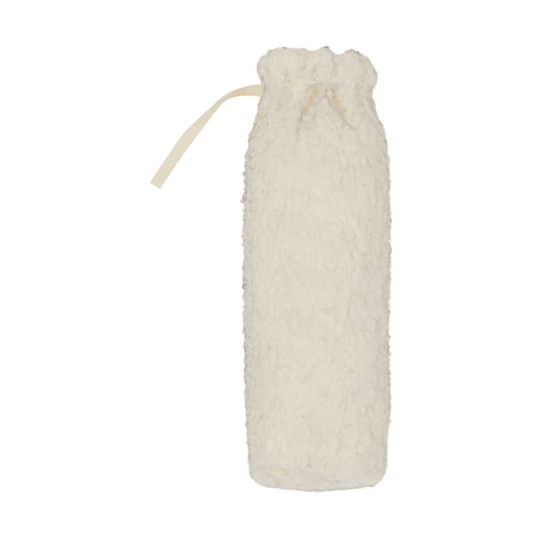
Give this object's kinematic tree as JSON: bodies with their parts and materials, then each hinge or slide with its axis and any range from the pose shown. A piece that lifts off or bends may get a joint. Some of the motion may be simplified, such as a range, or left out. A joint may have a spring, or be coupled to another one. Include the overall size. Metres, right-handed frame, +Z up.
{
  "type": "hot water bottle cover",
  "caption": "Long teddy fleece cover for a slim hot water bottle, gathered at the neck under a lobed frill, with a flat cotton tie tape, lying on its back.",
  "frame": {"origin": "on the floor under the middle of the cover's box, without the tape", "axes": "+Y along the cover towards its mouth, +Z up from the floor towards the front panel, +X to the right seen from above"},
  "size_m": [0.1885, 0.3398, 0.0864],
  "materials": {
    "front_fleece": "matte curly pile",
    "back_fleece": "matte curly pile",
    "cotton_tape": "matte woven"
  },
  "bodies": {
    "root": {"front_panel": "front_fleece", "back_panel": "back_fleece", "tie_tape": "cotton_tape"}
  },
  "joints": []
}
